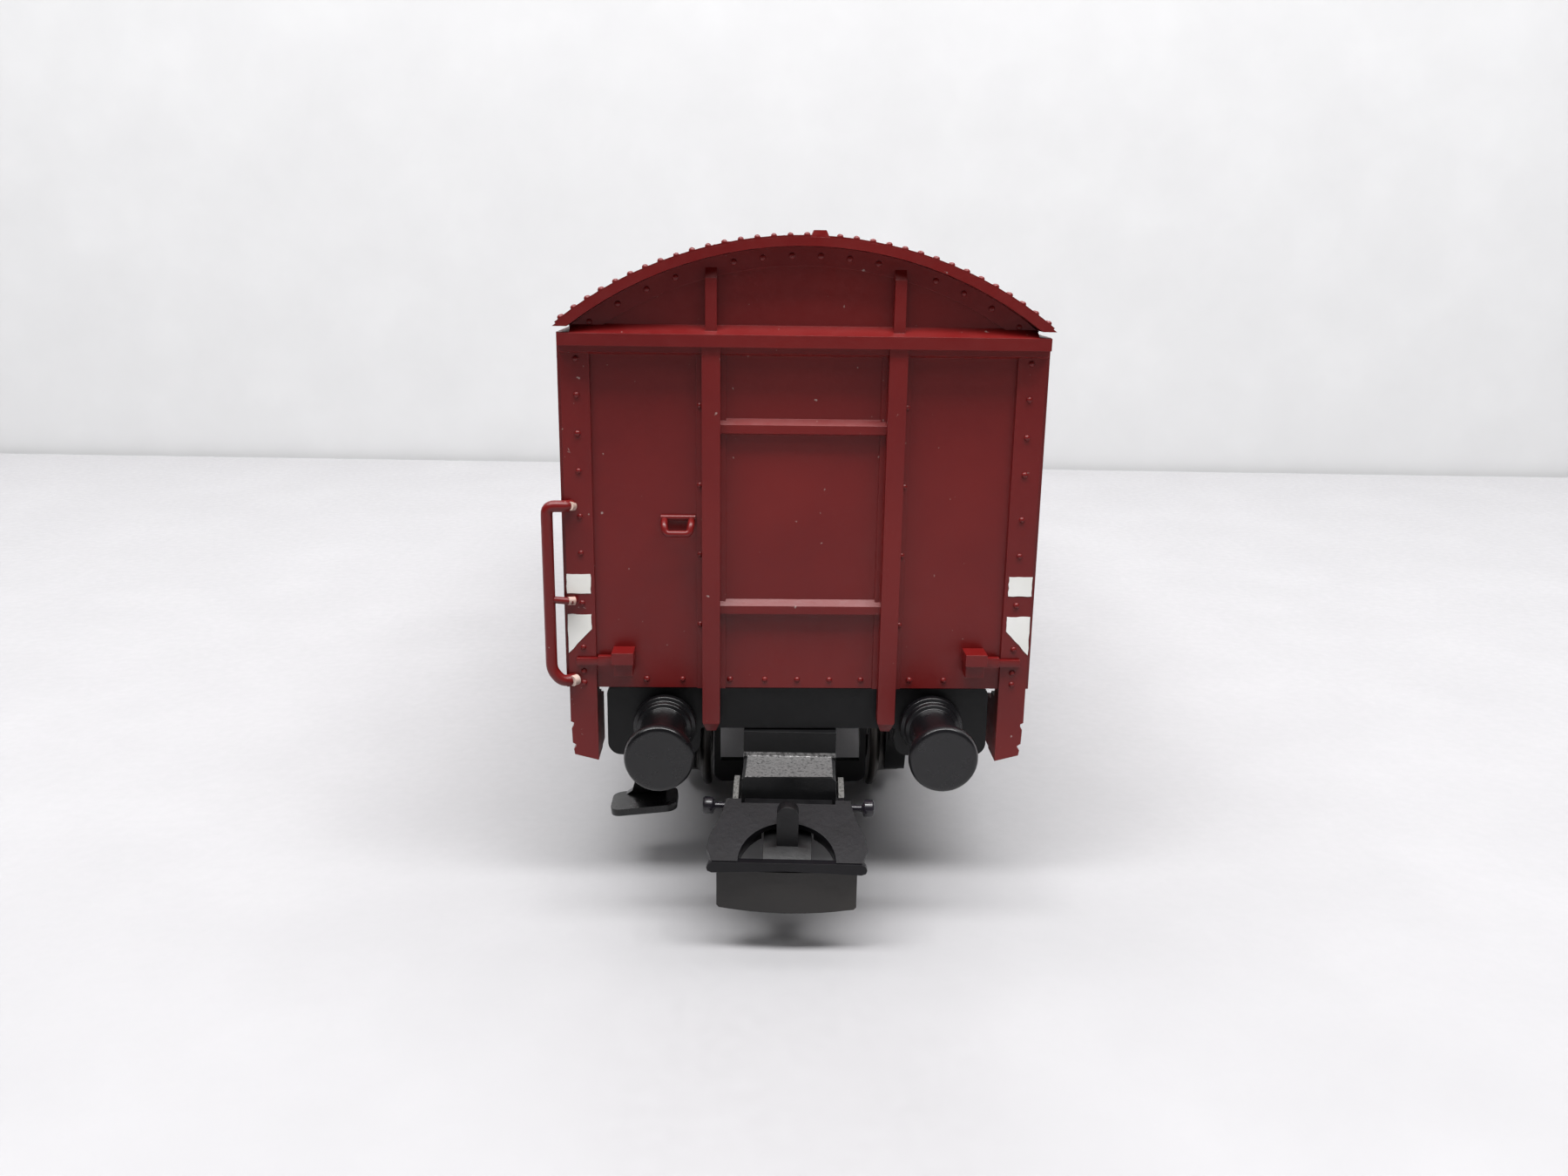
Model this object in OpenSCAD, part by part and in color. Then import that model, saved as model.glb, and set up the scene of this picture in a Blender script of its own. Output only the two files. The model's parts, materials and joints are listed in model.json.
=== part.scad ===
// Two-axle covered goods wagon in 1:87 scale, standing on its wheel flanges.
// X is across the wagon, Y along it and Z up. The origin is on the standing surface, under the centre.
// The two ends are copies of each other, turned by half a turn about Z.

/* [Main sizes] */
// Length over the buffer faces
length_over_buffers = 121.6; // [118:0.2:126]
// Distance between the two axles
wheelbase = 65.5; // [64:0.5:68]
// Width over the side walls
body_w = 34.2; // [34:0.02:34.3]
// Height of the lower edge of the body walls
wall_bottom = 16.3; // [16.2:0.05:16.4]
// Height of the top of the side walls
wall_top = 42.4; // [42.2:0.1:42.4]
// Thickness of the body walls
wall_t = 1.2; // [1:0.05:1.3]

/* [Roof] */
// Height of the roof's crown
roof_top = 49; // [48.9:0.05:49.2]
// Outer radius of the roof's arc
roof_r = 27.8; // [27.6:0.1:28]
// Thickness of the roof
roof_t = 0.6; // [0.5:0.05:0.7]
// How far the roof stands out past each end wall
roof_overhang = 1.3; // [1:0.1:1.5]

/* [Wheels] */
// Radius of the tread
tread_r = 5.3; // [5.2:0.05:5.4]
// Height of the flange over the tread
flange_h = 1.35; // [1.2:0.05:1.4]
// Distance between the backs of the two wheels of an axle
back_to_back = 14.1; // [14:0.05:14.4]
// Radius of the axle
axle_r = 0.75; // [0.7:0.05:0.8]

/* [Buffers and couplers] */
// Distance between the centres of a pair of buffers
buffer_spacing = 20.1; // [20:0.1:20.3]
// Height of the buffer centres
buffer_z = 13.45; // [13.3:0.05:13.6]
// How far the buffer faces stand out from the end wall
buffer_reach = 7.3; // [7.1:0.1:7.5]
// How far a coupler stands swung to one side, in degrees
coupler_rest_swing = 2.5; // [0:0.25:4]

/* [Doors] */
// Length of a side door
door_w = 23; // [22.6:0.1:23.2]
// Length of a door opening
door_gap_w = 21; // [20:0.1:21.4]

/* [Hidden] */

$fn = 48;
eps = 0.05;

half_len = length_over_buffers / 2;
half_w = body_w / 2;
wall_y = half_len - buffer_reach;
roof_axis_z = roof_top - roof_r;
roof_inner_r = roof_r - roof_t;
eaves_z = 42.86;
gable_r = roof_inner_r - 0.02;
axle_y = wheelbase / 2;
axle_z = tread_r + flange_h;
wheel_in = back_to_back / 2;
wheel_out = wheel_in + 3.2;

// Heights of the layers on the wagon's floor
plate_z0 = wall_bottom;
plate_z1 = plate_z0 + 1;
ballast_z1 = plate_z1 + 1;
floor_z1 = ballast_z1 + 0.8;

// Outer face of the sole bars
sole_x = 11.3;

// End wall
corner_post_w = 2.03;
corner_post_t = 0.3;
end_post_x = 6.55;
end_post_w = 1.3;
end_post_t = 1;
beam_t = 1.2;
beam_z0 = 41.55;
beam_z1 = 42.4;

// Door and its rails
door_x = 17.7;
door_panel_t = 0.4;
door_rib_t = 0.2;
door_z0 = 17;
door_z1 = 39.9;
rail_z0 = 40.1;
rail_z1 = 41;
rail_t = 0.35;
roller_r = 0.75;
door_travel = 20.5;
rail_y0 = -door_w / 2 - 0.9;
rail_y1 = door_w / 2 + door_travel + 0.9;

// Coupler, measured as distances behind the buffer faces
pivot_d = 21;
pivot_y = half_len - pivot_d;
pivot_boss_r = 1.5;
bow_pivot_d = 2.45;
bow_pivot_z = 8.8;
bow_slope = 23.5;
bow_t = 0.5;

red = [0.44, 0.13, 0.12];
black = [0.09, 0.09, 0.1];
gloss_black = [0.05, 0.05, 0.07];
dark_grey = [0.17, 0.17, 0.17];
steel = [0.62, 0.62, 0.64];
brown = [0.36, 0.25, 0.17];

// Y of a point that lies d behind the front buffer faces
function dy(d) = d - half_len;

// A box given by its two corners
module box(low, high) {
    translate(low) cube(high - low);
}

// Extrudes a drawing of X and Z along Y, from y0 to y1
module along_y(y0, y1) {
    translate([0, y1, 0]) rotate([90, 0, 0]) linear_extrude(height = y1 - y0) children();
}

// Extrudes a drawing of Y and Z along X, from x0 to x1
module along_x(x0, x1) {
    translate([x0, 0, 0]) rotate([90, 0, 90]) linear_extrude(height = x1 - x0) children();
}

// A straight bar between two points, cut with eight flats; it runs a little past both
module bar(a, b, r) {
    d = b - a;
    h = norm(d);
    past = r * 0.41;
    translate(a) rotate([0, acos(d[2] / h), atan2(d[1], d[0])])
        translate([0, 0, -past]) rotate([0, 0, 22.5]) cylinder(r = r, h = h + 2 * past, $fn = 8);
}

module at_rear() {
    rotate([0, 0, 180]) children();
}

module both_ends() {
    children();
    at_rear() children();
}

module both_sides() {
    children();
    mirror([1, 0, 0]) children();
}

// ---- Body ----

// Outline of an end wall, with the low corners that leave a slit under the roof
module end_wall_outline() {
    translate([-half_w, wall_bottom]) square([body_w, wall_top - wall_bottom]);
    intersection() {
        translate([0, roof_axis_z]) circle(r = gable_r, $fn = 96);
        translate([-half_w + 0.7, wall_top - 1]) square([body_w - 1.4, roof_top - wall_top + 1]);
    }
}

// Arched strip under the roof's edge
module gable_arch_outline() {
    intersection() {
        translate([0, roof_axis_z]) difference() {
            circle(r = gable_r, $fn = 96);
            circle(r = gable_r - 1.3, $fn = 96);
        }
        translate([-half_w + 0.7, beam_z1 + 0.4]) square([body_w - 1.4, roof_top]);
    }
}

// Foot of a corner post under the floor, with the steps in its outer edge
module corner_foot_outline() {
    inner = half_w - corner_post_w;
    polygon([
        [inner, wall_bottom + 0.5], [half_w, wall_bottom + 0.5], [half_w, 13.65], [half_w - 0.22, 13.55],
        [half_w - 0.22, 13.35], [half_w - 0.06, 13.1], [half_w - 0.1, 11.95], [half_w - 0.36, 11.8],
        [half_w - 0.36, 11.65], [half_w - 0.18, 11.45], [half_w - 0.24, 11.02], [inner, 10.55]
    ]);
}

module corner_post() {
    inner = half_w - corner_post_w;
    box([inner, -wall_y - corner_post_t, wall_bottom], [half_w, -wall_y + eps, beam_z0]);
    along_y(-wall_y - corner_post_t, -wall_y + 2.4) corner_foot_outline();
    box([inner, -wall_y + 2.4 - eps, 10.7], [half_w - 0.5, -wall_y + 3.9, 14.6]);
    box([half_w - eps, -wall_y, wall_bottom], [half_w + 0.25, -wall_y + 1.9, wall_top]);
}

// Upright hat section, tapered at its foot, and the slimmer piece of it over the beam
module end_post() {
    front = -wall_y - end_post_t;
    half = end_post_w / 2;
    top_half = 0.4;
    translate([end_post_x, 0, 0]) {
        intersection() {
            along_x(-half, half) polygon([
                [front, 13.75], [front + 0.45, 13.05], [-wall_y - 0.05, 13.05], [-wall_y - 0.05, wall_bottom],
                [-wall_y + eps, wall_bottom], [-wall_y + eps, beam_z0 + 0.2], [front, beam_z0 + 0.2]
            ]);
            along_y(front - 1, -wall_y + 1) polygon([
                [-half, 13.9], [-half + 0.32, 13], [half - 0.32, 13], [half, 13.9], [half, 50], [-half, 50]
            ]);
        }
        along_x(-top_half, top_half) polygon([
            [front + 0.25, beam_z1 - 0.2], [front + 0.25, 46.2], [-wall_y - 0.1, 46.95],
            [-wall_y + eps, 46.95], [-wall_y + eps, beam_z1 - 0.2]
        ]);
        box([-half - 0.4, -wall_y - 0.18, wall_bottom], [half + 0.4, -wall_y + eps, beam_z0]);
    }
}

// Rib between the two end posts, with a sloping top
module end_rib(z) {
    along_x(-end_post_x, end_post_x) polygon([
        [-wall_y + eps, z + 0.45], [-wall_y - 0.5, z], [-wall_y - 0.5, z - 0.6], [-wall_y + eps, z - 0.75]
    ]);
}

// Beam across the top of the end wall, cut back where it would meet the roof
module end_beam() {
    difference() {
        union() {
            along_x(-half_w - 0.06, half_w + 0.06) polygon([
                [-wall_y, beam_z1 + 0.6], [-wall_y - beam_t, beam_z1], [-wall_y - beam_t, beam_z0],
                [-wall_y, beam_z0]
            ]);
            along_x(-half_w, half_w) polygon([
                [-wall_y, beam_z0 + eps], [-wall_y - 0.6, beam_z0 + eps], [-wall_y - 0.6, 41.1],
                [-wall_y, 40.9]
            ]);
        }
        for (side = [-1, 1])
            box([side * 17.3 - 1, -wall_y - 2, beam_z1 + 0.02], [side * 17.3 + 1, -wall_y + 0.5, 44]);
    }
}

// Louvred ventilator on a side wall, with its centre at y
module ventilator(y) {
    z0 = 34.4;
    vent_h = 4.4;
    vent_w = 6.6;
    slats = 5;
    pitch = (vent_h - 0.8) / slats;
    difference() {
        box([half_w - eps, y - vent_w / 2, z0], [half_w + 0.4, y + vent_w / 2, z0 + vent_h]);
        box([half_w + 0.1, y - vent_w / 2 + 0.4, z0 + 0.4],
            [half_w + 1, y + vent_w / 2 - 0.4, z0 + vent_h - 0.4]);
    }
    for (i = [0 : slats - 1])
        translate([0, y, z0 + 0.4 + i * pitch])
            along_y(-vent_w / 2 + 0.3, vent_w / 2 - 0.3) polygon([
                [half_w, 0.05], [half_w + 0.38, 0.05], [half_w + 0.12, pitch * 0.85], [half_w, pitch * 0.85]
            ]);
}

// Posts, rails and ventilators of one side wall
module side_wall_relief() {
    post_t = 0.4;
    for (y = [-44.2, -33.2, -22.2, -11.9, 11.9, 22.2, 33.2, 44.2]) {
        box([half_w - eps, y - 0.45, 17.3], [half_w + post_t, y + 0.45, 40]);
        box([half_w - eps, y - 0.85, 17.3], [half_w + 0.15, y + 0.85, 40]);
    }
    box([half_w - eps, -wall_y + 1.9 - eps, 41.2], [half_w + 0.25, wall_y - 1.9 + eps, wall_top]);
    for (y = [-38.7, -27.7, 27.7, 38.7]) ventilator(y);
}

module body_shell() color(red) {
    difference() {
        union() {
            box([-half_w, -wall_y, wall_bottom], [half_w, wall_y, wall_top]);
            both_ends() {
                along_y(-wall_y, -wall_y + wall_t) end_wall_outline();
                along_y(-wall_y - 0.15, -wall_y + eps) gable_arch_outline();
                both_sides() {
                    corner_post();
                    end_post();
                }
                end_rib(36.1);
                end_rib(22.8);
                end_beam();
            }
            both_sides() side_wall_relief();
        }
        box([-half_w + wall_t, -wall_y + wall_t, wall_bottom - 1],
            [half_w - wall_t, wall_y - wall_t, roof_top]);
        box([-half_w - 1, -door_gap_w / 2, floor_z1 + 0.2], [half_w + 1, door_gap_w / 2, 38.6]);
    }
}

// Arc of the roof, cut level along both eaves
module roof_outline() {
    intersection() {
        translate([0, roof_axis_z]) difference() {
            circle(r = roof_r, $fn = 96);
            circle(r = roof_inner_r, $fn = 96);
        }
        translate([-half_w - 2, eaves_z]) square([body_w + 4, roof_top]);
    }
}

module roof() color(red) {
    roof_y = wall_y + roof_overhang;
    clip_x = half_w - wall_t - 0.7;
    clip_top = roof_axis_z + sqrt(pow(roof_inner_r, 2) - pow(clip_x, 2)) + 0.1;
    along_y(-roof_y, roof_y) roof_outline();
    both_ends() along_y(-roof_y + 0.1, -roof_y + 1.3) translate([0.87, roof_top - 0.15]) polygon([
        [-0.75, -0.1], [0.75, -0.1], [0.42, 0.6], [-0.42, 0.6]
    ]);
    both_sides() box([clip_x, -wall_y + 2.5, 41], [clip_x + 0.55, wall_y - 2.5, clip_top]);
}

module load_floor() color(brown) {
    board = 4;
    difference() {
        box([-half_w + wall_t + 0.2, -wall_y + wall_t + 0.2, ballast_z1],
            [half_w - wall_t - 0.2, wall_y - wall_t - 0.2, floor_z1]);
        for (i = [-12 : 12])
            box([-half_w, i * board - 0.1, floor_z1 - 0.2], [half_w, i * board + 0.1, floor_z1 + 1]);
    }
}

module ballast_weight() color(steel) {
    box([-13.5, -46, plate_z1], [13.5, 46, ballast_z1]);
}

// ---- Underframe ----

module headstock_outline() {
    translate([-8.5, 13]) square([17, 3.2]);
    for (side = [-1, 1]) translate([side * 10.9, 0]) {
        translate([-2.5, 10.8]) square([5, 5.4]);
        translate([-3.5, 11.8]) square([7, 3.9]);
        for (edge = [-1, 1]) {
            translate([edge * 2.5, 11.8]) circle(r = 1);
            translate([edge * 3, 15.7]) circle(r = 0.5);
        }
        translate([-3, 15]) square([6, 1.2]);
    }
}

// Curved leaves of one spring, drawn about the middle of the axle
module leaf_spring_outline() {
    curve_r = 34;
    leaf_t = 0.34;
    for (i = [0 : 4])
        intersection() {
            translate([0, 10 + i * leaf_t + curve_r]) difference() {
                circle(r = curve_r, $fn = 96);
                circle(r = curve_r - leaf_t - 0.02, $fn = 96);
            }
            translate([-(3 + i), 9]) square([2 * (3 + i), 4]);
        }
    translate([-0.75, 8]) square([1.5, 3.9]);
    for (side = [-1, 1]) translate([side * 6.9 - 0.35, 11.6]) square([0.7, 2]);
}

module axle_guard_outline() {
    difference() {
        polygon([
            [-6, 13.6], [6, 13.6], [4.2, 12.9], [2, 9.2], [1.75, 4.7], [-1.75, 4.7], [-2, 9.2], [-4.2, 12.9]
        ]);
        for (side = [-1, 1])
            polygon([[side * 0.9, 12.7], [side * 3.4, 12.7], [side * 1.5, 9.7], [side * 0.9, 9.7]]);
    }
}

// Axle guard, axlebox and spring on the right-hand side of the front axle
module axle_support() {
    guard_x = 10.9;
    translate([0, -axle_y, 0]) {
        along_x(guard_x, guard_x + 0.7) axle_guard_outline();
        along_x(guard_x + 0.3, guard_x + 2.3) translate([-1.5, 5]) square([3, 3.3]);
        along_x(guard_x + 0.6, guard_x + 2) leaf_spring_outline();
        translate([guard_x + 2.3 - eps, 0, axle_z]) rotate([0, 90, 0]) cylinder(r = 1.15, h = 0.4);
    }
}

// Sole bar: a channel that is open to the outside
module sole_bar() {
    difference() {
        box([10.3, -wall_y + 1.5, 13.2], [sole_x, wall_y - 1.5, plate_z0 + eps]);
        box([10.9, -wall_y + 2.5, 13.7], [12, wall_y - 2.5, 15.8]);
    }
}

module underframe() color(black) {
    cup_x = 10.8;
    cup_depth = 1.64;
    difference() {
        union() {
            box([-half_w + wall_t + 0.3, -wall_y + wall_t + 0.3, plate_z0],
                [half_w - wall_t - 0.3, wall_y - wall_t - 0.3, plate_z1]);
            both_ends() {
                along_y(-wall_y + 0.2, -wall_y + 1.8) headstock_outline();
                box([-13, -wall_y + 1.55, 15.6], [13, -wall_y + 3.5, plate_z0 + eps]);
                translate([0, -pivot_y, 12.85]) cylinder(r = 2.5, h = plate_z0 - 12.85 + eps);
                translate([0, -pivot_y, 11.25]) cylinder(r = pivot_boss_r, h = 2);
                both_sides() axle_support();
            }
            both_sides() sole_bar();
            for (y = [-22, -8, 8, 22]) box([-10.5, y - 0.5, 14.2], [10.5, y + 0.5, plate_z0 + eps]);
        }
        both_ends() {
            both_sides() {
                translate([cup_x, -axle_y, axle_z]) rotate([0, 90, 0])
                    cylinder(r1 = axle_r + 0.205, r2 = 0.01, h = cup_depth);
                translate([buffer_spacing / 2, -wall_y - 1, buffer_z]) rotate([-90, 0, 0])
                    cylinder(r = 0.8, h = 3.4);
            }
            translate([0, -pivot_y, 11]) cylinder(r = 0.85, h = 5);
        }
    }
}

// Buffer at the front, on the side where X is positive: turned head, ringed housing and a plug
module buffer() {
    reach = half_len - wall_y - 0.2;
    translate([buffer_spacing / 2, -half_len, buffer_z]) rotate([-90, 0, 0]) rotate_extrude() polygon([
        [0, 0], [2.05, 0], [2.36, 0.12], [2.46, 0.35], [2.46, 0.8], [2.2, 1], [0.9, 1.15], [0.9, 1.5],
        [1.7, 1.5], [1.92, 1.62], [1.92, 2.1], [1.75, 2.2], [1.75, reach - 1.35], [2.05, reach - 1.25],
        [2.05, reach - 0.7], [2.35, reach - 0.6], [2.35, reach], [0.75, reach], [0.75, reach + 1.4],
        [0, reach + 1.4]
    ]);
}

// Lamp bracket on the side where X is positive, with its strap to the corner post
module lamp_bracket() {
    front = -wall_y - 1.8;
    box([12.2, front, 18.6], [13.8, -wall_y, 19.5]);
    box([12.3, front + 0.5, 17.6], [13.7, -wall_y, 18.65]);
    box([13.75, -wall_y - 0.75, 18.2], [14.9, -wall_y - corner_post_t, 18.95]);
    box([14.85, -wall_y - 0.6, 18.2], [16.5, -wall_y - corner_post_t, 18.75]);
}

// Stirrup handle beside the left end post
module end_handle() {
    r = 0.26;
    x0 = -9.93;
    x1 = -7.99;
    front = -wall_y - 1.1;
    bar([x0, -wall_y - 0.2, 29.25], [x0, front + 0.25, 28.7], r);
    bar([x1, -wall_y - 0.2, 29.25], [x1, front + 0.25, 28.7], r);
    bar([x0, front + 0.25, 28.7], [x0 + 0.3, front, 28.3], r);
    bar([x1, front + 0.25, 28.7], [x1 - 0.3, front, 28.3], r);
    bar([x0 + 0.3, front, 28.3], [x1 - 0.3, front, 28.3], r);
    box([x0 - 0.3, -wall_y - 0.3, 28.95], [x1 + 0.3, -wall_y, 29.5]);
}

// Grab rail that stands out from the left corner post
module corner_handrail() {
    r = 0.43;
    x = -18.26;
    y = -wall_y - 0.8;
    foot_x = -16.75;
    top_z = 30.2;
    low_z = 18.3;
    bar([x, y, top_z - 0.6], [x, y, low_z], r);
    bar([x, y, top_z - 0.6], [x + 0.55, y, top_z], r);
    bar([x + 0.55, y, top_z], [foot_x, y, top_z], r - 0.1);
    bar([x, y, 23.25], [foot_x, y, 23.1], 0.3);
    bar([x, y, low_z], [x + 0.75, y, 17.2], r);
    bar([x + 0.75, y, 17.2], [foot_x, y, 17.2], r - 0.1);
    for (z = [17.2, 23.1, top_z])
        box([foot_x - 0.3, y, z - 0.3], [foot_x + 0.35, -wall_y - corner_post_t, z + 0.3]);
}

// Step under the left buffer, hung from the floor behind the headstock
module shunter_step() {
    plate_y = -wall_y + 3.95;
    plate_t = 0.56;
    strap_y = -wall_y + 5;
    translate([-12, plate_y, 5.22]) rotate([0, -5.8, 0]) translate([0, 0, -plate_t / 2])
        linear_extrude(height = plate_t) {
            translate([-1.8, -1.75]) square([3.6, 3.5]);
            translate([-2.62, -0.93]) square([5.24, 1.86]);
            for (sx = [-1, 1]) for (sy = [-1, 1]) translate([sx * 1.8, sy * 0.93]) circle(r = 0.82);
        }
    along_y(strap_y, strap_y + 0.7) polygon([
        [-13.9, 5.1], [-13.1, 5.7], [-12.85, 6.6], [-12.85, plate_z0], [-sole_x, plate_z0], [-sole_x, 12.9],
        [-10.9, 12.5], [-10.9, 6.6], [-10.5, 5.8], [-10, 5.4]
    ]);
}

// Step board under a side door, with its two hangers
module door_step() {
    box([13.6, -9, 8.4], [16.6, 9, 9]);
    for (y = [-7, 7]) {
        box([13.6, y - 0.5, 8.9], [14.2, y + 0.5, 15]);
        box([11.35, y - 0.5, 14.4], [14.2, y + 0.5, 15]);
    }
}

// ---- Side doors ----

// Rail that the door's rollers run on, for the side where X is positive
module upper_door_rail() {
    box([door_x, rail_y0, rail_z0], [door_x + rail_t, rail_y1, rail_z1]);
    for (y = [rail_y0, rail_y0 + 15, rail_y0 + 30, rail_y1 - 1])
        box([half_w, y, rail_z0 + 0.3], [door_x + eps, y + 1, rail_z1]);
}

// Channel that keeps the door's lower edge in line
module lower_door_rail() {
    box([half_w, rail_y0, 16.4], [18.7, rail_y1, door_z0 - 0.1]);
    box([18.45, rail_y0, 16.8], [18.7, rail_y1, door_z0 + 0.6]);
}

module door() {
    panel_x = door_x + door_panel_t;
    rib_x = panel_x + door_rib_t;
    half = door_w / 2;
    box([door_x, -half, door_z0], [panel_x, half, door_z1]);
    for (z = [door_z0, 23.4, 30.6, door_z1 - 1])
        box([panel_x - eps, -half, z], [rib_x, half, z + 1]);
    for (y = [-half, half - 1])
        box([panel_x - eps, y, door_z0], [rib_x, y + 1, door_z1]);
    for (y = [-8, 8]) {
        box([panel_x - eps, y - 0.6, door_z1 - 2], [18.45, y + 0.6, rail_z1 + 0.9]);
        translate([door_x + 0.03, y, rail_z1 + roller_r + 0.04]) rotate([0, 90, 0])
            cylinder(r = roller_r, h = panel_x - door_x);
    }
}

// Latch bar and grip on the outside of a door
module door_latch() {
    x = door_x + door_panel_t;
    half = door_w / 2;
    box([x, -half + 1.2, 26.6], [x + 0.28, -half + 6, 27.2]);
    box([x, -half + 1.2, 26.2], [x + 0.35, -half + 2.2, 27.6]);
    bar([x + 0.3, -half + 5.4, 24.9], [x + 0.3, -half + 5.4, 28.9], 0.2);
    for (z = [24.9, 28.9])
        box([x, -half + 5.2, z - 0.2], [x + 0.3, -half + 5.6, z + 0.2]);
}

// ---- Running gear ----

// Brake blocks and hangers around the front wheels, with the low beam between them
module brake_gear() {
    block_r = tread_r + 0.35;
    hanger_y = block_r + 0.9;
    translate([0, -axle_y, 0]) {
        both_sides() {
            along_x(wheel_out - 1.9, wheel_out - 0.1) intersection() {
                translate([0, axle_z]) difference() {
                    circle(r = block_r + 1.2);
                    circle(r = block_r);
                }
                union() for (side = [-1, 1])
                    polygon([[0, axle_z - 0.6], [side * 9, axle_z - 4.2], [side * 9, axle_z + 3.4]]);
            }
            for (side = [-1, 1])
                box([8.6, side * hanger_y - 0.4, axle_z], [9.4, side * hanger_y + 0.4, plate_z0]);
            box([8.6, -hanger_y - 0.4, 15.5], [9.4, hanger_y + 0.4, plate_z0]);
            box([6.2, -hanger_y + 1, 3], [6.75, -hanger_y + 1.8, plate_z0]);
            box([6.2, -hanger_y + 1, 15.5], [9, -hanger_y + 1.8, plate_z0]);
        }
        box([-9, -1, 15.5], [9, 1, plate_z0]);
        along_y(-hanger_y + 1, -hanger_y + 1.8) {
            translate([-5.9, 2.1]) square([11.8, 2]);
            translate([-6.75, 2.95]) square([13.5, 1.15]);
            for (side = [-1, 1]) translate([side * 5.9, 2.95]) circle(r = 0.85);
        }
    }
}

module brake_cylinder() color(black) {
    translate([-3.6, 1, 12.6]) rotate([-90, 0, 0]) {
        cylinder(r = 2, h = 5.4);
        translate([0, 0, 0.6]) cylinder(r = 2.3, h = 0.6);
        translate([0, 0, 5.3]) cylinder(r = 1.2, h = 0.5);
        translate([0, 0, 5.7]) cylinder(r = 0.4, h = 1.2);
    }
    box([-4.2, 2, 14.2], [-3, 5, plate_z0]);
}

module air_reservoir() color(black) {
    translate([3.8, -6, 12.8]) rotate([-90, 0, 0]) {
        cylinder(r = 2, h = 12);
        translate([0, 0, -0.3]) cylinder(r = 1.6, h = 12.6);
    }
    for (y = [-5, 4]) box([3.3, y, 14.4], [4.3, y + 1, plate_z0]);
}

// Axle with pointed ends, lying along X
module axle() {
    straight = 11;
    point = 1.3;
    translate([-straight, 0, 0]) rotate([0, 90, 0]) cylinder(r = axle_r, h = 2 * straight);
    both_sides() translate([straight - 0.01, 0, 0]) rotate([0, 90, 0])
        cylinder(r1 = axle_r, r2 = 0.03, h = point);
}

// Wheel on the side where X is positive, with a bore of the given radius
module wheel(bore_r) {
    w0 = wheel_in;
    w1 = wheel_out;
    flange_r = tread_r + flange_h;
    rotate([0, 90, 0]) rotate_extrude($fn = 96) polygon([
        [bore_r, w0 + 0.2], [2.1, w0 + 0.2], [2.2, w0 + 1], [4.1, w0 + 1], [4.3, w0], [flange_r - 0.25, w0],
        [flange_r, w0 + 0.25], [flange_r, w0 + 0.5], [flange_r - 0.3, w0 + 0.8], [tread_r + 0.2, w0 + 1],
        [tread_r + 0.02, w0 + 1.3], [tread_r - 0.04, w1 - 0.25], [tread_r - 0.25, w1], [4.5, w1],
        [4.35, w1 - 0.7], [2.2, w1 - 1], [2, w1 - 0.1], [1.8, w1], [bore_r, w1]
    ]);
}

// Plastic bush that insulates the left wheel from its axle
module axle_bush() {
    rotate([0, -90, 0]) translate([0, 0, wheel_in + 0.2]) difference() {
        cylinder(r = 1.25, h = wheel_out - wheel_in - 0.2);
        translate([0, 0, -1]) cylinder(r = axle_r + 0.01, h = 6);
    }
}

module on_front_axle() {
    translate([0, -axle_y, axle_z]) children();
}

module on_rear_axle() {
    translate([0, axle_y, axle_z]) children();
}

// ---- Couplers, drawn straight at the front and then swung about the pivot ----

module swung() {
    translate([0, -pivot_y, 0]) rotate([0, 0, -coupler_rest_swing]) translate([0, pivot_y, 0]) children();
}

// Drawbar: eye, neck, thick front block and the pocket for the coupler head
module drawbar() {
    pocket_d0 = 3;
    block_d0 = 7;
    block_d1 = 14.5;
    difference() {
        union() {
            translate([0, -pivot_y, 11.35]) cylinder(r = 3, h = 1.4);
            box([-2, dy(block_d1) - eps, 11.35], [2, -pivot_y, 12.75]);
            box([-3.5, dy(block_d0), 9.3], [3.5, dy(block_d1), 12.85]);
            along_y(dy(pocket_d0), dy(block_d0) + eps) polygon([
                [-3.45, 7], [3.45, 7], [3.45, 10.6], [3.15, 10.9], [-3.15, 10.9], [-3.45, 10.6]
            ]);
        }
        translate([0, -pivot_y, 11]) cylinder(r = pivot_boss_r + 0.06, h = 3);
        box([-1.65, dy(pocket_d0) - 1, 7.55], [1.65, dy(block_d0) - 0.3, 8.95]);
    }
}

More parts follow.
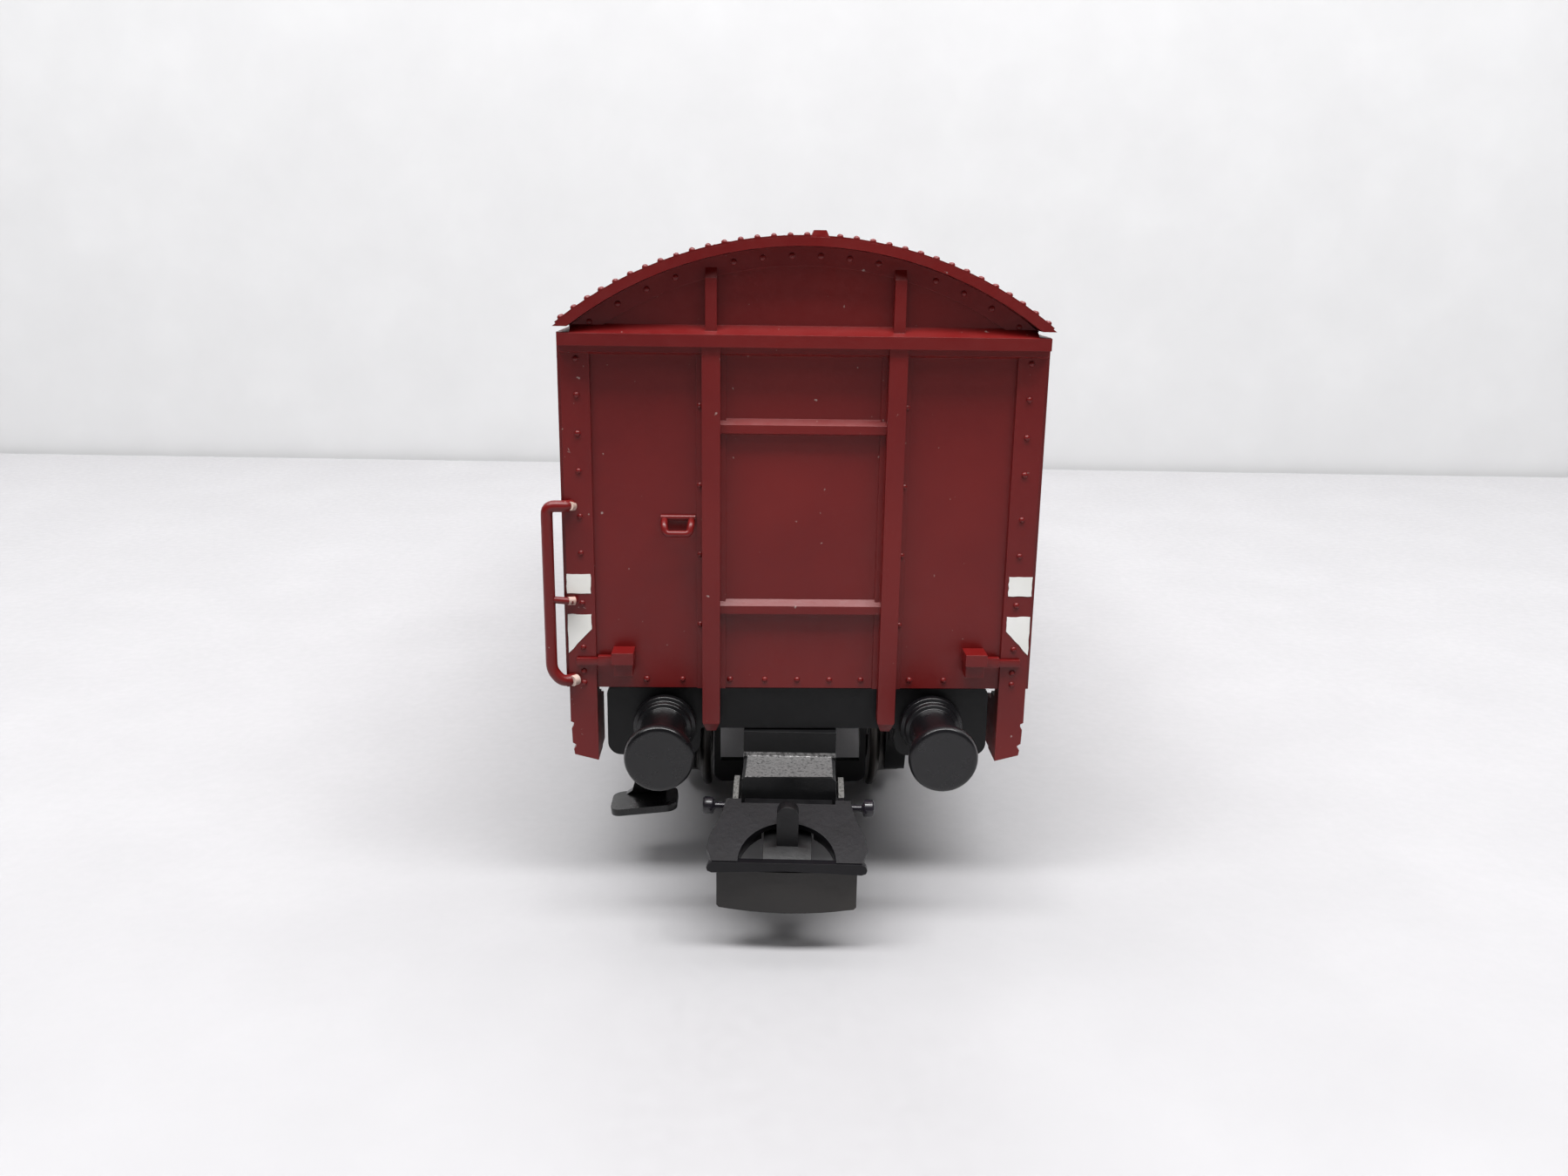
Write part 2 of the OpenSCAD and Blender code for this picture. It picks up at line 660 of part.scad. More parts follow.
// Coupler head: shank, pin block, hook and the curved front plate
module coupler_head() {
    plate_r = 30;
    difference() {
        union() {
            box([-1.6, dy(1.8), 7.6], [1.6, dy(6.6), 8.9]);
            along_x(-3.2, 3.2) polygon([
                [dy(2), 7.6], [dy(2.92), 7.6], [dy(2.92), 9.22], [dy(2.1), 9.22], [dy(2), 8.8]
            ]);
            along_x(-1.7, 1.7) polygon([
                [dy(2.1), 7.6], [dy(2.1), 8.7], [dy(0.7), 7.9], [dy(-0.2), 7.75], [dy(-1.5), 7.5],
                [dy(-2.4), 7], [dy(-2.4), 4.2], [dy(-0.5), 5.2]
            ]);
            along_y(dy(-1.4), dy(-0.2)) {
                translate([-0.77, 7]) square([1.54, 2.75]);
                translate([0, 9.75]) circle(r = 0.77);
            }
            intersection() {
                translate([0, dy(-3) + plate_r, 2.4]) difference() {
                    cylinder(r = plate_r, h = 3.95, $fn = 128);
                    translate([0, 0, -1]) cylinder(r = plate_r - 0.7, h = 6, $fn = 128);
                }
                along_y(dy(-3.5), dy(0)) polygon([
                    [-4.92, 6.35], [4.92, 6.35], [4.92, 3.55], [4.75, 3.38], [2.5, 3.24], [0, 3.18],
                    [-2.5, 3.24], [-4.75, 3.38], [-4.92, 3.55]
                ]);
            }
        }
        translate([-5, dy(bow_pivot_d), bow_pivot_z]) rotate([0, 90, 0]) cylinder(r = 0.3, h = 10);
    }
}

// Front bar of the bow: its lower edge drops towards the rounded ends
module bow_bar_outline() {
    polygon([
        [-5.1, 7.22], [-5.45, 7.05], [-5.57, 6.8], [-5.5, 6.55], [-5.2, 6.42], [-2.6, 6.52], [0, 6.62],
        [2.6, 6.52], [5.2, 6.42], [5.5, 6.55], [5.57, 6.8], [5.45, 7.05], [5.1, 7.22]
    ]);
}

// Coupler bow: sloping plate with a deep arch, its front bar and two arms back to the pin
module coupler_bow() {
    rear_half = 4.5;
    waist = 4.75;
    front_half = 5.5;
    plate_len = 5.75;
    arch_s = 5.65;
    arch_r = 3.4;
    rim_w = 0.55;
    notch_half = 3.4;
    notch = 0.4;
    difference() {
        union() {
            translate([0, dy(2), 9.6]) rotate([180 + bow_slope, 0, 0]) {
                linear_extrude(height = bow_t) difference() {
                    polygon([
                        [-rear_half, 0], [-notch_half, 0], [-notch_half, notch], [notch_half, notch],
                        [notch_half, 0], [rear_half, 0], [waist, 1.4], [front_half, 3.6],
                        [front_half + 0.1, 4.7], [front_half - 0.3, plate_len], [0.3 - front_half, plate_len],
                        [-front_half - 0.1, 4.7], [-front_half, 3.6], [-waist, 1.4]
                    ]);
                    translate([0, arch_s]) circle(r = arch_r);
                }
                linear_extrude(height = 1.05) difference() {
                    intersection() {
                        translate([0, arch_s]) circle(r = arch_r + rim_w);
                        both_sides() translate([1.85, 0]) square([4, plate_len - 0.45]);
                    }
                    translate([0, arch_s]) circle(r = arch_r);
                }
            }
            along_y(dy(-3.35), dy(-2.7)) bow_bar_outline();
            both_sides() along_x(3.65, 4.05) polygon([
                [dy(0.8), 8.75], [dy(2), 9.5], [dy(3.4), 10.1], [dy(4.9), 10.15], [dy(5.5), 9.8],
                [dy(5.5), 9.2], [dy(3.2), 8.15], [dy(1.9), 8.1], [dy(1.2), 8.3]
            ]);
        }
        translate([-6, dy(bow_pivot_d), bow_pivot_z]) rotate([0, 90, 0]) cylinder(r = 0.27, h = 12);
    }
}

// Hinge pin of the bow, with a head at both ends
module bow_pin() {
    translate([0, dy(bow_pivot_d), bow_pivot_z]) {
        translate([-5.9, 0, 0]) rotate([0, 90, 0]) cylinder(r = 0.25, h = 11.8);
        for (side = [-1, 1])
            translate([side * 5.85 - 0.4, 0, 0]) rotate([0, 90, 0]) cylinder(r = 0.64, h = 0.8);
    }
}

// Screw that holds the drawbar on its pivot boss
module coupler_screw() color(steel) {
    translate([0, -pivot_y, 0]) difference() {
        union() {
            translate([0, 0, 10.4]) cylinder(r = 2.2, h = 0.85);
            translate([0, 0, 11.2]) cylinder(r = 0.8, h = 4.4);
        }
        box([-2.5, -0.2, 10], [2.5, 0.2, 10.75]);
    }
}

// ---- Nodes that repeat a shape ----

module front_left_buffer() color(gloss_black) mirror([1, 0, 0]) buffer();
module front_right_buffer() color(gloss_black) buffer();
module rear_left_buffer() color(gloss_black) at_rear() buffer();
module rear_right_buffer() color(gloss_black) at_rear() mirror([1, 0, 0]) buffer();
module front_left_lamp_bracket() color(red) mirror([1, 0, 0]) lamp_bracket();
module front_right_lamp_bracket() color(red) lamp_bracket();
module rear_left_lamp_bracket() color(red) at_rear() lamp_bracket();
module rear_right_lamp_bracket() color(red) at_rear() mirror([1, 0, 0]) lamp_bracket();
module front_end_handle() color(red) end_handle();
module rear_end_handle() color(red) at_rear() end_handle();
module front_corner_handrail() color(red) corner_handrail();
module rear_corner_handrail() color(red) at_rear() corner_handrail();
module front_shunter_step() color(black) shunter_step();
module rear_shunter_step() color(black) at_rear() shunter_step();
module left_door_step() color(black) at_rear() door_step();
module right_door_step() color(black) door_step();
module left_upper_door_rail() color(red) mirror([1, 0, 0]) upper_door_rail();
module left_lower_door_rail() color(red) mirror([1, 0, 0]) lower_door_rail();
module right_upper_door_rail() color(red) mirror([0, 1, 0]) upper_door_rail();
module right_lower_door_rail() color(red) mirror([0, 1, 0]) lower_door_rail();
module left_door() color(red) mirror([1, 0, 0]) door();
module left_door_latch() color(black) mirror([1, 0, 0]) door_latch();
module right_door() color(red) mirror([0, 1, 0]) door();
module right_door_latch() color(black) mirror([0, 1, 0]) door_latch();
module front_brake_gear() color(black) brake_gear();
module rear_brake_gear() color(black) at_rear() brake_gear();
module front_axle() color(steel) on_front_axle() axle();
module front_axle_bush() color(black) on_front_axle() axle_bush();
module front_left_wheel() color(dark_grey) on_front_axle() mirror([1, 0, 0]) wheel(1.26);
module front_right_wheel() color(dark_grey) on_front_axle() wheel(axle_r + 0.01);
module rear_axle() color(steel) on_rear_axle() axle();
module rear_axle_bush() color(black) on_rear_axle() axle_bush();
module rear_left_wheel() color(dark_grey) on_rear_axle() mirror([1, 0, 0]) wheel(1.26);
module rear_right_wheel() color(dark_grey) on_rear_axle() wheel(axle_r + 0.01);
module front_drawbar() color(black) swung() drawbar();
module front_coupler_head() color(dark_grey) swung() coupler_head();
module front_coupler_bow() color(dark_grey) swung() coupler_bow();
module front_bow_pin() color(steel) swung() bow_pin();
module front_coupler_screw() coupler_screw();
module rear_drawbar() color(black) at_rear() swung() drawbar();
module rear_coupler_head() color(dark_grey) at_rear() swung() coupler_head();
module rear_coupler_bow() color(dark_grey) at_rear() swung() coupler_bow();
module rear_bow_pin() color(steel) at_rear() swung() bow_pin();
module rear_coupler_screw() at_rear() coupler_screw();

body_shell();
roof();
load_floor();
ballast_weight();
underframe();
front_left_buffer();
front_right_buffer();
rear_left_buffer();
rear_right_buffer();
front_left_lamp_bracket();
front_right_lamp_bracket();
rear_left_lamp_bracket();
rear_right_lamp_bracket();
front_end_handle();
rear_end_handle();
front_corner_handrail();
rear_corner_handrail();
front_shunter_step();
rear_shunter_step();
left_door_step();
right_door_step();
left_upper_door_rail();
left_lower_door_rail();
right_upper_door_rail();
right_lower_door_rail();
left_door();
left_door_latch();
right_door();
right_door_latch();
front_brake_gear();
rear_brake_gear();
brake_cylinder();
air_reservoir();
front_axle();
front_axle_bush();
front_left_wheel();
front_right_wheel();
rear_axle();
rear_axle_bush();
rear_left_wheel();
rear_right_wheel();
front_drawbar();
front_coupler_head();
front_coupler_bow();
front_bow_pin();
front_coupler_screw();
rear_drawbar();
rear_coupler_head();
rear_coupler_bow();
rear_bow_pin();
rear_coupler_screw();
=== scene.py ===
"""Looks of the two-axle covered goods wagon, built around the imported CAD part.

Lengths are in mm until mm() or MM turns them into metres. The photographed end is at -Y.
"""

import json
import math
import random

import bmesh
import bpy
from mathutils import Matrix, Vector

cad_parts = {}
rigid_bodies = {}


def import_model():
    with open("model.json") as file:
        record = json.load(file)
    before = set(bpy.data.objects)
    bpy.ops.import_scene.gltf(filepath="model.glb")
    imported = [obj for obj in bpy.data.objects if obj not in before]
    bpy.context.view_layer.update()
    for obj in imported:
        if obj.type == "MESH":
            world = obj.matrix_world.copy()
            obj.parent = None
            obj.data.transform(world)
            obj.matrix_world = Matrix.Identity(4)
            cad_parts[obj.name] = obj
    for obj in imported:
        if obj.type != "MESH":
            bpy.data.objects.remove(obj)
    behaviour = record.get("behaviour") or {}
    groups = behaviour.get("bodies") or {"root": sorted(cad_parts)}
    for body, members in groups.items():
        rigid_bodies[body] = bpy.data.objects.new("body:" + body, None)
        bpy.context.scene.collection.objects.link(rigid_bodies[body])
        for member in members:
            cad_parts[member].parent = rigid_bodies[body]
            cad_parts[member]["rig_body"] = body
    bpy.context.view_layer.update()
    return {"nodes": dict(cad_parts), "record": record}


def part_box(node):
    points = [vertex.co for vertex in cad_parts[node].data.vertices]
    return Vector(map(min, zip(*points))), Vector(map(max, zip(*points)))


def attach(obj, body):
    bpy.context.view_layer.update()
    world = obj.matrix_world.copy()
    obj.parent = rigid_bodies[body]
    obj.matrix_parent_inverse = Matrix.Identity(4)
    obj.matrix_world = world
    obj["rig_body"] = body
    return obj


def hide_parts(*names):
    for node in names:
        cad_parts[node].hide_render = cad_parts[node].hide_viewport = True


MM = 0.001
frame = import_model()
nodes = frame["nodes"]
random.seed(7)


def mm(*values):
    return Vector(values) * MM


def lo(node):
    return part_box(node)[0] / MM


def hi(node):
    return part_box(node)[1] / MM


# ------------------------------------------------------------------ places

# The boxes come from the imported part. The offsets from them are given as in the CAD source.
ROOF_OVERHANG = 1.3  # from the end wall to the roof's edge
SIDE_POST_PROUD = 0.4  # from the side wall to the outside of its posts
ROOF_PROUD = 0.45  # from the roof's sheet to the top of its box
ROOF_R = 27.8  # outer radius of the roof's arc
CORNER_PROUD = 0.3  # from the end wall to the front of a corner post
FLANGE_PROUD = 0.15  # from the end wall to the front of the post flanges and the gable strip
POCKET_DEPTH = 7  # from the buffer faces to the drawbar's pocket

WALL_Y = hi("roof").y - ROOF_OVERHANG
HALF_W = hi("body_shell").x - SIDE_POST_PROUD
HALF_LEN = hi("rear_left_buffer").y
ROOF_AXIS_Z = hi("roof").z - ROOF_PROUD - ROOF_R
POCKET_Y = HALF_LEN - POCKET_DEPTH
FRONT = (0, -1, 0)

# ------------------------------------------------------------------ materials


class Shader:
    """A small helper that wires one procedural material."""

    def __init__(self, name):
        self.mat = bpy.data.materials.new(name)
        self.mat.use_nodes = True
        self.tree = self.mat.node_tree
        self.bsdf = self.tree.nodes["Principled BSDF"]
        coords = self.tree.nodes.new("ShaderNodeTexCoord")
        self.coords = coords.outputs["Object"]

    def link(self, a, b):
        self.tree.links.new(a, b)

    def node(self, kind, **settings):
        n = self.tree.nodes.new(kind)
        for key, value in settings.items():
            setattr(n, key, value)
        return n

    def noise(self, scale, detail, rough=0.55):
        n = self.node("ShaderNodeTexNoise")
        n.inputs["Scale"].default_value = scale
        n.inputs["Detail"].default_value = detail
        n.inputs["Roughness"].default_value = rough
        self.link(self.coords, n.inputs["Vector"])
        return n.outputs["Fac"]

    def ramp(self, source, stops):
        n = self.node("ShaderNodeValToRGB")
        ramp = n.color_ramp
        while len(ramp.elements) < len(stops):
            ramp.elements.new(0.5)
        for element, (place, colour) in zip(ramp.elements, stops):
            element.position = place
            element.color = (*colour, 1.0)
        self.link(source, n.inputs["Fac"])
        return n.outputs["Color"]

    def level(self, source, low, high, start=0.35, end=0.65):
        """Maps source from start..end to low..high."""
        n = self.node("ShaderNodeMapRange")
        n.inputs["From Min"].default_value = start
        n.inputs["From Max"].default_value = end
        n.inputs["To Min"].default_value = low
        n.inputs["To Max"].default_value = high
        self.link(source, n.inputs["Value"])
        return n.outputs["Result"]

    def mix(self, fac, a, b):
        n = self.node("ShaderNodeMix", data_type="RGBA")
        self.link(fac, n.inputs["Factor"])
        for value, socket in ((a, n.inputs[6]), (b, n.inputs[7])):
            if isinstance(value, tuple):
                socket.default_value = (*value, 1.0)
            else:
                self.link(value, socket)
        return n.outputs[2]

    def maths(self, kind, *values):
        n = self.node("ShaderNodeMath", operation=kind)
        for socket, value in zip(n.inputs, values):
            if isinstance(value, (int, float)):
                socket.default_value = value
            else:
                self.link(value, socket)
        return n.outputs[0]

    def bump(self, parts):
        """Chains (height, distance in mm, strength) bumps."""
        normal = None
        for height, distance, strength in parts:
            n = self.node("ShaderNodeBump")
            n.inputs["Strength"].default_value = strength
            n.inputs["Distance"].default_value = distance * MM
            self.link(height, n.inputs["Height"])
            if normal:
                self.link(normal, n.inputs["Normal"])
            normal = n.outputs["Normal"]
        self.link(normal, self.bsdf.inputs["Normal"])


def srgb(r, g, b):
    def one(c):
        c /= 255
        return c / 12.92 if c <= 0.04045 else ((c + 0.055) / 1.055) ** 2.4

    return one(r), one(g), one(b)


DUST_COLOUR = srgb(214, 206, 198)
COAT_ROUGH = 0.12


def plastic(
    name, base, dark, light, rough, grain, grain_scale=2600, coat=0.0, spec=0.5, metallic=0.0, dust=0.0
):
    """A moulded or painted surface: wide and fine changes of tone, motes of dust, waves and grain."""
    s = Shader(name)
    wide = s.noise(60, 3)
    fine = s.noise(900, 5, 0.6)
    colour = s.ramp(wide, [(0.3, dark), (0.5, base), (0.72, light)])
    speck = s.level(fine, 0.0, 1.0, 0.3, 0.75)
    colour = s.mix(s.level(speck, 0.0, 0.22, 0.2, 1.0), colour, light)
    if dust:
        motes = s.level(s.noise(1700, 2, 0.5), 0.0, dust, 0.735, 0.775)
        colour = s.mix(motes, colour, DUST_COLOUR)
    s.link(colour, s.bsdf.inputs["Base Color"])
    s.link(s.level(fine, rough * 0.85, rough * 1.15), s.bsdf.inputs["Roughness"])
    s.bsdf.inputs["Specular IOR Level"].default_value = spec
    s.bsdf.inputs["Coat Weight"].default_value = coat
    s.bsdf.inputs["Coat Roughness"].default_value = COAT_ROUGH
    s.bsdf.inputs["Metallic"].default_value = metallic
    grains = s.noise(grain_scale, 3, 0.6)
    waves = s.noise(260, 2)
    s.bump([(waves, 0.05, 0.12), (grains, 0.03, grain)])
    return s.mat


def rubbed_with_sheen(name, base, sheen_and_wear, region, rough=0.4, patch_rough=0.33, grain=0.5, patch_grain=1.0):
    """Black finish with a bright metal patch inside a region: partly rubbed bare metal, partly painted
    sheen where light glances off the top faces.

    The region is (|x| from, |x| to, |y| from, |y| to, z from, z to) in mm.
    """
    s = Shader(name)
    split = s.node("ShaderNodeSeparateXYZ")
    s.link(s.coords, split.inputs["Vector"])
    axes = [
        s.maths("ABSOLUTE", split.outputs[0]),
        s.maths("ABSOLUTE", split.outputs[1]),
        split.outputs[2],
    ]
    mask = None
    for k, axis in enumerate(axes):
        low, high = region[2 * k] * MM, region[2 * k + 1] * MM
        inside = s.maths("MULTIPLY", s.maths("GREATER_THAN", axis, low), s.maths("LESS_THAN", axis, high))
        mask = inside if mask is None else s.maths("MULTIPLY", mask, inside)
    fine = s.noise(3200, 5, 0.7)
    # The patch is partly painted sheen: its bright metal-grey colour stands for light glancing off the
    # faces, as well as for rubbed bare metal.
    patchy = s.maths("MULTIPLY", mask, s.level(fine, 0.12, 1.0, 0.4, 0.62))
    paler = tuple(c * 1.7 for c in base)
    colour = s.mix(s.level(s.noise(400, 4), 0.0, 1.0, 0.35, 0.7), base, paler)
    s.link(s.mix(patchy, colour, sheen_and_wear), s.bsdf.inputs["Base Color"])
    s.link(s.maths("MULTIPLY", patchy, 0.9), s.bsdf.inputs["Metallic"])
    s.link(s.level(mask, rough, patch_rough, 0.0, 1.0), s.bsdf.inputs["Roughness"])
    s.bsdf.inputs["Specular IOR Level"].default_value = 0.28
    height = s.maths("MULTIPLY", s.noise(2100, 4, 0.65), s.level(mask, grain, patch_grain, 0.0, 1.0))
    s.bump([(height, 0.06, 0.8)])
    return s.mat


def painted_shade_above(mat, height, dark, fade_half=0.25):
    """Paints shade on a metal above a height in mm: a darker colour that holds back the light falling on
    its top.
    """
    tree = mat.node_tree
    bsdf = tree.nodes["Principled BSDF"]
    coords = tree.nodes.new("ShaderNodeTexCoord")
    split = tree.nodes.new("ShaderNodeSeparateXYZ")
    tree.links.new(coords.outputs["Object"], split.inputs["Vector"])
    fade = tree.nodes.new("ShaderNodeMapRange")
    fade.inputs["From Min"].default_value = (height - fade_half) * MM
    fade.inputs["From Max"].default_value = (height + fade_half) * MM
    tree.links.new(split.outputs["Z"], fade.inputs["Value"])
    mixer = tree.nodes.new("ShaderNodeMix")
    mixer.data_type = "RGBA"
    tree.links.new(fade.outputs["Result"], mixer.inputs["Factor"])
    old = bsdf.inputs["Base Color"].links[0].from_socket
    tree.links.new(old, mixer.inputs[6])
    mixer.inputs[7].default_value = (*dark, 1.0)
    tree.links.new(mixer.outputs[2], bsdf.inputs["Base Color"])


RED = plastic(
    "oxide_red_plastic", srgb(103, 17, 17), srgb(95, 14, 15), srgb(113, 24, 22),
    rough=0.35, grain=0.3, spec=0.38, dust=0.35,
)
BLACK = plastic(
    "satin_black_plastic", srgb(11, 11, 12), srgb(7, 7, 8), srgb(19, 19, 20),
    rough=0.38, grain=0.4, spec=0.25,
)
GLOSS = plastic(
    "glossy_black_plastic", srgb(12, 11, 13), srgb(8, 8, 9), srgb(19, 18, 21),
    rough=0.3, grain=0.35, grain_scale=1500, coat=0.1, spec=0.45,
)
GUN = plastic(
    "coupler_black_metal", srgb(37, 35, 34), srgb(27, 26, 25), srgb(54, 51, 48),
    rough=0.45, grain=0.9, grain_scale=1500, spec=0.4,
)
WHEEL = plastic(
    "blackened_wheel_metal", srgb(58, 55, 52), srgb(42, 40, 38), srgb(86, 82, 78),
    rough=0.38, grain=0.4, metallic=0.75,
)
STEEL = plastic(
    "bright_steel", srgb(178, 178, 180), srgb(150, 150, 152), srgb(205, 205, 208),
    rough=0.28, grain=0.25, metallic=1.0,
)
BROWN = plastic(
    "brown_board_plastic", srgb(96, 66, 44), srgb(78, 52, 34), srgb(120, 86, 58),
    rough=0.55, grain=0.5,
)
WHITE = plastic(
    "white_paint", srgb(240, 240, 237), srgb(222, 221, 214), srgb(248, 248, 246),
    rough=0.45, grain=0.5,
)
# Painted sheen: the top of the drawbar's pocket gets a bright metal-grey patch for the light glancing off
# it, partly also rubbed metal.
DRAWBAR = rubbed_with_sheen(
    "drawbar_black", srgb(15, 15, 16), (0.46, 0.45, 0.45),
    (0, 4.6, POCKET_Y - 0.2, HALF_LEN - 3.1, 10.84, 11.2), patch_rough=0.38,
)
# Painted highlight: the tops of the bow's arms get a bright metal-grey patch where they catch the light
# from above, partly also bare metal edges.
BOW = rubbed_with_sheen(
    "bow_black", srgb(12, 11, 14), (0.5, 0.49, 0.47),
    (2.5, 5.2, HALF_LEN - 5.6, HALF_LEN - 2.2, 9.35, 10.4), patch_rough=0.22, patch_grain=0.5,
)
HEAD_SHADE_FROM = 6.65  # painted shade: the coupler head is painted darker above this, against the light that falls on its top
painted_shade_above(GUN, HEAD_SHADE_FROM, srgb(11, 10, 12))
PIN = plastic(
    "pin_dark_metal", srgb(22, 20, 25), srgb(14, 13, 16), srgb(34, 31, 37),
    rough=0.26, grain=0.3, coat=0.2, spec=0.45,
)
PIP = plastic(
    "buffer_pip", srgb(70, 66, 68), srgb(52, 49, 51), srgb(104, 100, 102),
    rough=0.2, grain=0.2, coat=0.3,
)
PALE = plastic(
    "bare_joint_plastic", srgb(196, 172, 160), srgb(168, 130, 118), srgb(222, 208, 200),
    rough=0.35, grain=0.6,
)

# ------------------------------------------------------------------ mesh helpers


def add_object(name, bm, mat, body, smooth=35, weighted=True):
    mesh = bpy.data.meshes.new(name)
    bm.normal_update()
    bm.to_mesh(mesh)
    bm.free()
    mesh.materials.append(mat)
    for p in mesh.polygons:
        p.use_smooth = True
    mesh.set_sharp_from_angle(angle=math.radians(smooth))
    obj = bpy.data.objects.new(name, mesh)
    bpy.context.scene.collection.objects.link(obj)
    if weighted:
        mod = obj.modifiers.new("normals", "WEIGHTED_NORMAL")
        mod.keep_sharp = True
        mod.weight = 60
    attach(obj, body)
    return obj


WELD = 0.002  # vertices closer than this are one
FLAT_ANGLE = 1.2  # edges flatter than this are dissolved, in degrees
SHARP_ANGLE = 28  # edges sharper than this are rounded, in degrees
SHORTEST_EDGE = 0.02  # edges shorter than this are left sharp


def dressed(node, mat, width, segments=2):
    """A copy of a CAD node with its sharp edges rounded, which stands for the node."""
    source = nodes[node]
    bm = bmesh.new()
    bm.from_mesh(source.data)
    bmesh.ops.remove_doubles(bm, verts=bm.verts, dist=WELD * MM)
    bmesh.ops.dissolve_limit(bm, angle_limit=math.radians(FLAT_ANGLE), verts=bm.verts, edges=bm.edges)
    sharp = [
        e for e in bm.edges
        if len(e.link_faces) == 2
        and e.calc_face_angle(0) > math.radians(SHARP_ANGLE)
        and e.calc_length() > SHORTEST_EDGE * MM
    ]
    bmesh.ops.bevel(
        bm, geom=sharp, offset=width * MM, offset_type="OFFSET", segments=segments,
        profile=0.5, affect="EDGES", clamp_overlap=True, miter_outer="SHARP", loop_slide=True,
    )
    obj = add_object(node + "_moulding", bm, mat, source["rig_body"])
    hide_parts(node)


def dome(bm, place, normal, r, h, sink=0.06, sides=10):
    """A closed rivet head standing on a surface."""
    normal = Vector(normal).normalized()
    turn = normal.to_track_quat("Z", "Y").to_matrix().to_4x4()
    place = Vector(place)
    rings = []
    for radius, height in ((r, -sink), (r, 0.0), (r * 0.86, h * 0.5), (r * 0.5, h * 0.87)):
        ring = []
        for i in range(sides):
            a = 2 * math.pi * i / sides
            p = turn @ Vector((radius * math.cos(a), radius * math.sin(a), height))
            ring.append(bm.verts.new((place + p) * MM))
        rings.append(ring)
    top = bm.verts.new((place + turn @ Vector((0, 0, h))) * MM)
    for a, b in zip(rings, rings[1:]):
        for i in range(sides):
            j = (i + 1) % sides
            bm.faces.new((a[i], a[j], b[j], b[i]))
    last = rings[-1]
    for i in range(sides):
        bm.faces.new((last[i], last[(i + 1) % sides], top))
    bm.faces.new(list(reversed(rings[0])))


def rivets(name, places, r, h, mat=RED, slot="oxide_red"):
    """Rivet heads at (place, normal) pairs, with small differences between them."""
    bm = bmesh.new()
    for place, normal in places:
        k = random.uniform(0.93, 1.07)
        dome(bm, place, normal, r * k, h * k)
    obj = add_object(name, bm, mat, "wagon", smooth=60, weighted=False)


def half_turn(places):
    return [((-p[0], -p[1], p[2]), (-n[0], -n[1], n[2])) for p, n in places]


def rivets_at_both_ends(name, places, r, h, **look):
    rivets(name + "_front", places, r, h, **look)
    rivets(name + "_rear", half_turn(places), r, h, **look)


# ------------------------------------------------------------------ CAD nodes with rounded edges

# Material and width of the rounding for each slot, then for the nodes that have their own
LOOKS = {
    "oxide_red": (RED, 0.08),
    "underframe_black": (BLACK, 0.07),
    "gloss_black": (GLOSS, 0.05),
    "coupler_black": (GUN, 0.06),
    "bright_steel": (STEEL, 0.04),
    "axle_steel": (STEEL, 0.04),
    "wheel_metal": (WHEEL, 0.05),
    "insulating_plastic": (BLACK, 0.04),
    "ballast_steel": (STEEL, 0.1),
    "floor_brown": (BROWN, 0.05),
}
OWN_LOOK = {
    "drawbar": (DRAWBAR, 0.12),
    "coupler_bow": (BOW, 0.1),
    "bow_pin": (PIN, 0.3),
    "shunter_step": (GLOSS, 0.16),
    "coupler_head": (GUN, 0.1),
}
BUILT_BELOW = ("corner_handrail", "end_handle")
for sub in frame["record"]["subparts"]:
    node_name, slot_name = sub["node"], sub["material_slot"]
    if node_name.endswith(BUILT_BELOW):
        continue
    look, bevel_width = LOOKS[slot_name]
    for ending, own in OWN_LOOK.items():
        if node_name.endswith(ending):
            look, bevel_width = own
    dressed(node_name, look, bevel_width)

# ------------------------------------------------------------------ rivets on the ends

CORNER_RIVET_X = 16.0
CORNER_RIVET_ROWS = (40.6, 38.07, 35.36, 32.67, 29.37, 26.66, 22.9, 19.5, 17.65, 16.75)
BOTTOM_RIVET_X = (-11.38, -8.70, -5.17, -2.56, -0.14, 2.28, 4.64, 8.3, 10.9)
BOTTOM_RIVET_Z = 16.95
POST_RIVET_X = 7.35
POST_RIVET_ROWS = (37.4, 31.7, 26.6, 21.3)

end_places = [
    ((side * CORNER_RIVET_X, -WALL_Y - CORNER_PROUD, z), FRONT)
    for z in CORNER_RIVET_ROWS for side in (-1, 1)
]
end_places += [((x, -WALL_Y, BOTTOM_RIVET_Z), FRONT) for x in BOTTOM_RIVET_X]
end_places += [
    ((side * POST_RIVET_X, -WALL_Y - FLANGE_PROUD, z), FRONT)
    for side in (-1, 1) for z in POST_RIVET_ROWS
]
rivets_at_both_ends("end_rivets", end_places, r=0.23, h=0.17)

# ------------------------------------------------------------------ seam plates and rivets on the roof


def roof_row(y, span_x, count, r):
    """Places along one arc across the roof."""
    span = math.asin(span_x / r)
    row = []
    for i in range(count):
        a = -span + 2 * span * i / (count - 1)
        n = (math.sin(a), 0, math.cos(a))
        row.append(((r * n[0], y, ROOF_AXIS_Z + r * n[2]), n))
    return row


def roof_strip(bm, y0, y1, rise, sink=0.1, span_x=17.2, steps=40):
    """A thin seam plate that follows the roof's arc."""
    span = math.asin(span_x / ROOF_R)
    rings = []
    for i in range(steps + 1):
        a = -span + 2 * span * i / steps
        ring = []
        for y, r in ((y0, ROOF_R - sink), (y0, ROOF_R + rise), (y1, ROOF_R + rise), (y1, ROOF_R - sink)):
            ring.append(bm.verts.new(mm(r * math.sin(a), y, ROOF_AXIS_Z + r * math.cos(a))))
        rings.append(ring)
    for a, b in zip(rings, rings[1:]):
        for k in range(4):
            bm.faces.new((a[k], a[(k + 1) % 4], b[(k + 1) % 4], b[k]))
    bm.faces.new(rings[0])
    bm.faces.new(list(reversed(rings[-1])))


